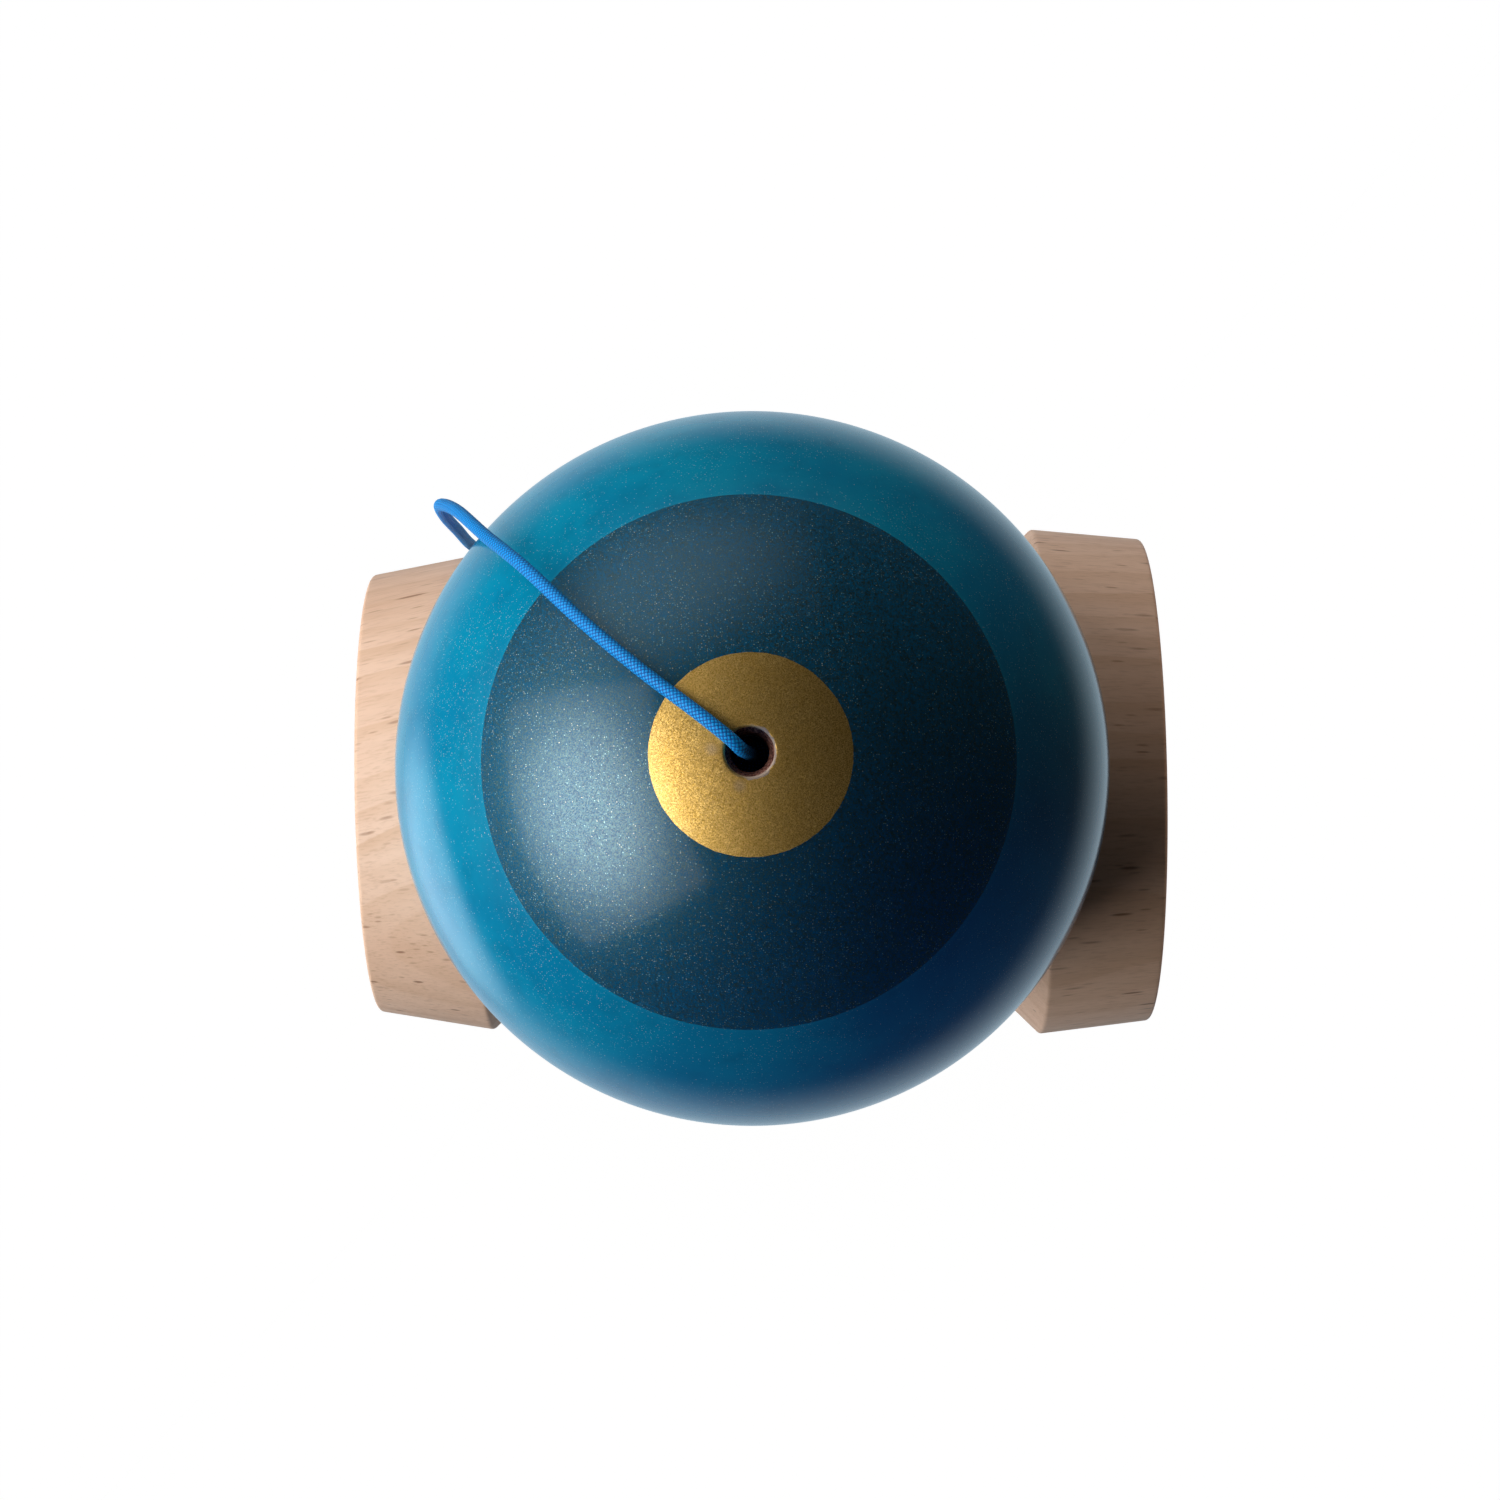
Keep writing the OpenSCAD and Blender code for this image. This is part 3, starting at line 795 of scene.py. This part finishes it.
def turned_metal(name, dark, light, roughness):
    """Metal with the fine rings that a lathe leaves about the bearing's axis, and faint oil stains."""
    s = Shader(name)
    place = s.vector("SUBTRACT", s.position(), (0, 0, BEARING_Z * MM))
    parts = s.node("SeparateXYZ", Vector=place).outputs
    groove = s.noise(s.node("CombineXYZ", X=s.reach(parts), Y=parts[2]).outputs[0], 16000.0, 2.0)
    stain = s.noise(place, 900.0, 3.0)
    color = s.mix(s.remap(stain, 0.35, 0.65), rgb(*dark), rgb(*light))
    rough = s.math("ADD", s.remap(groove, 0.3, 0.7, roughness - 0.06, roughness + 0.06),
                   s.remap(stain, 0.4, 0.7, 0.0, 0.08))
    bump = s.node("Bump", Strength=0.15, Distance=0.00001, Height=groove).outputs[0]
    return s.finish(Base_Color=color, Metallic=1.0, Roughness=rough, Normal=bump)


def paint(obj, material):
    obj.data.materials.clear()
    obj.data.materials.append(material)


# ---------------------------------------------------------------- stage


def make_stage():
    """A wide pale floor, white to the camera except for a painted contact shadow near the toy.

    The paint mirrors it, so to other rays it glows only near the toy, most of all at its left, and
    it is bluish in reflections.
    """
    side = 6000
    corners = [(-side, -side, 0), (side, -side, 0), (side, side, 0), (-side, side, 0)]
    floor = mesh_object("floor", corners, [(0, 1, 2, 3)])
    s = Shader("floor_paper")
    rays = s.node("LightPath").outputs
    seen, glossy = rays["Is Camera Ray"], rays["Is Glossy Ray"]
    left = s.vector("MULTIPLY", s.vector("SUBTRACT", s.position(), (-0.20, -0.05, 0)), (1.0, 1.3, 1.0))
    left = s.remap(s.vector("LENGTH", left), 0.05, 0.15, 2.0, 0.0)
    around = s.vector("LENGTH", s.vector("SUBTRACT", s.position(), (-0.02, 0, 0)))
    around = s.remap(around, 0.10, 0.28, 0.68, 0.04)
    # painted contact shadow: the floor the camera sees is darkened where the toy would shade it
    painted_contact_shadow = s.node("AmbientOcclusion", {"samples": 8}, Distance=0.06).outputs["AO"]
    camera_white_with_painted_shadow = s.remap(painted_contact_shadow, 0.0, 0.95, 0.45, 1.0)
    glow = s.blend(seen, s.math("MAXIMUM", left, around), camera_white_with_painted_shadow)
    paper = s.mix(seen, rgb(0.8, 0.8, 0.8), rgb(0.07, 0.07, 0.07))
    tone = s.mix(seen, rgb(1.0, 0.94, 0.90), rgb(1, 1, 1))
    tone = s.mix(glossy, tone, rgb(0.65, 0.86, 1.0))
    s.finish(Base_Color=paper, Roughness=0.9, Emission_Color=tone, Emission_Strength=glow,
             Specular_IOR_Level=0.0)
    paint(floor, s.material)


def softbox(name, lit, azimuth, elevation, distance, width, height, radiance, color=(1, 1, 1), hot=None,
            diffuse=True, glossy=True):
    """A soft rectangle of light that faces the ball, in degrees and metres.

    It reaches only the pieces in lit, and hot gives how far its middle outshines its edges.
    """
    data = bpy.data.lights.new(name, "AREA")
    data.shape, data.size, data.size_y, data.color = "RECTANGLE", width, height, color
    data.energy = radiance * math.pi * width * height
    if hot is not None:
        data.use_nodes = True
        tree = data.node_tree
        spot = tree.nodes.new("ShaderNodeNewGeometry").outputs["Parametric"]
        offset = tree.nodes.new("ShaderNodeVectorMath")
        offset.operation = "DISTANCE"
        offset.inputs[1].default_value = (0.5, 0.5, 0)
        tree.links.new(spot, offset.inputs[0])
        fade = tree.nodes.new("ShaderNodeMapRange")
        fade.interpolation_type = "SMOOTHSTEP"
        for socket, value in zip(list(fade.inputs)[1:5], (0.1, 0.55, 1.0, 1.0 / hot)):
            socket.default_value = value
        tree.links.new(offset.outputs["Value"], fade.inputs[0])
        tree.links.new(fade.outputs[0], tree.nodes["Emission"].inputs["Strength"])
    light = bpy.data.objects.new(name, data)
    a, e = math.radians(azimuth), math.radians(elevation)
    way = Vector((math.cos(a) * math.cos(e), math.sin(a) * math.cos(e), math.sin(e)))
    light.location = BALL_CENTRE + distance * way
    light.rotation_euler = (BALL_CENTRE - light.location).to_track_quat("-Z", "Y").to_euler()
    light.visible_camera = False
    light.visible_diffuse = diffuse
    light.visible_glossy = glossy
    light.light_linking.receiver_collection = lit
    bpy.context.scene.collection.objects.link(light)


def group(name, pieces):
    """A collection for light linking."""
    made = bpy.data.collections.new(name)
    for piece in pieces:
        made.objects.link(piece)
    return made


def make_lights(painted, plain):
    """The softboxes and the dim room.

    The bright, low ones reach the paint alone, because they would burn out the wood.
    """
    softbox("key", painted, 195, 37, 0.6, 0.80, 0.62, 6.4, hot=5, diffuse=False)
    softbox("side", painted, 183, 8, 0.6, 0.7, 0.42, 8.5, glossy=False)
    softbox("back", painted, 95, -2, 0.7, 0.8, 0.24, 3.4, glossy=False)
    softbox("top", painted, 135, 32, 0.7, 0.8, 0.6, 1.15, glossy=False)
    softbox("cool", painted, 262, 12, 1.2, 1.0, 0.4, 3.0, color=(0.12, 0.42, 1.0), glossy=False)
    softbox("wall", painted, 118, 26, 1.3, 2.4, 1.4, 0.7, hot=8)
    softbox("wood_key", plain, 182, 36, 0.7, 0.95, 0.60, 5.1)
    softbox("wood_wall", plain, 105, 15, 1.3, 2.0, 0.7, 1.35, color=(1.0, 0.95, 0.92))
    softbox("low_fill", plain, 12, -3, 0.8, 0.8, 0.18, 3.2, color=(1.0, 0.85, 0.75), glossy=False)
    world = bpy.data.worlds.new("room")
    world.use_nodes = True
    tree = world.node_tree
    seen = tree.nodes.new("ShaderNodeLightPath").outputs["Is Camera Ray"]
    level = tree.nodes.new("ShaderNodeMapRange")
    level.inputs["To Min"].default_value = 0.015
    level.inputs["To Max"].default_value = 1.0
    tree.links.new(seen, level.inputs["Value"])
    tree.links.new(level.outputs[0], tree.nodes["Background"].inputs["Strength"])
    tree.nodes["Background"].inputs["Color"].default_value = rgb(1.0, 1.0, 1.0)
    bpy.context.scene.world = world


# ---------------------------------------------------------------- build

cord_material = braid_material()
knots = [
    make_knot("tama_knot_braid", (0, 0, BALL_Z + POCKET_TOP - KNOT_H / 2), (0, 0, 1),
              "string_end", "tama_knot"),
    make_knot("ken_knot_braid", (0, RECESS_Y - KNOT_H / 2, AXIS_Z), (0, -1, 0), "handle", "ken_knot"),
]
cord = make_cord()
for piece in knots + [cord]:
    paint(piece, cord_material)

sarado, ken, ball = make_sarado(), make_ken(), make_ball()
paint(sarado, beech("beech_cross", "x", (0, 0, AXIS_Z * MM), bend=1.4))
paint(ken, beech("beech_handle", "z", (0, 0, 0), tint=0.97))
paint(ball, ball_paint())
steel_pieces, cage = make_bearing()
steel = turned_metal("bearing_steel", (0.50, 0.51, 0.53), (0.62, 0.63, 0.65), 0.22)
brass = turned_metal("bearing_brass", (0.62, 0.42, 0.15), (0.78, 0.58, 0.26), 0.3)
for piece in steel_pieces:
    paint(piece, steel)
paint(cage, brass)

make_stage()
make_lights(group("painted", [ball]), group("plain", [sarado, ken, cord, cage] + knots + steel_pieces))
bpy.context.scene.view_settings.view_transform = "Standard"
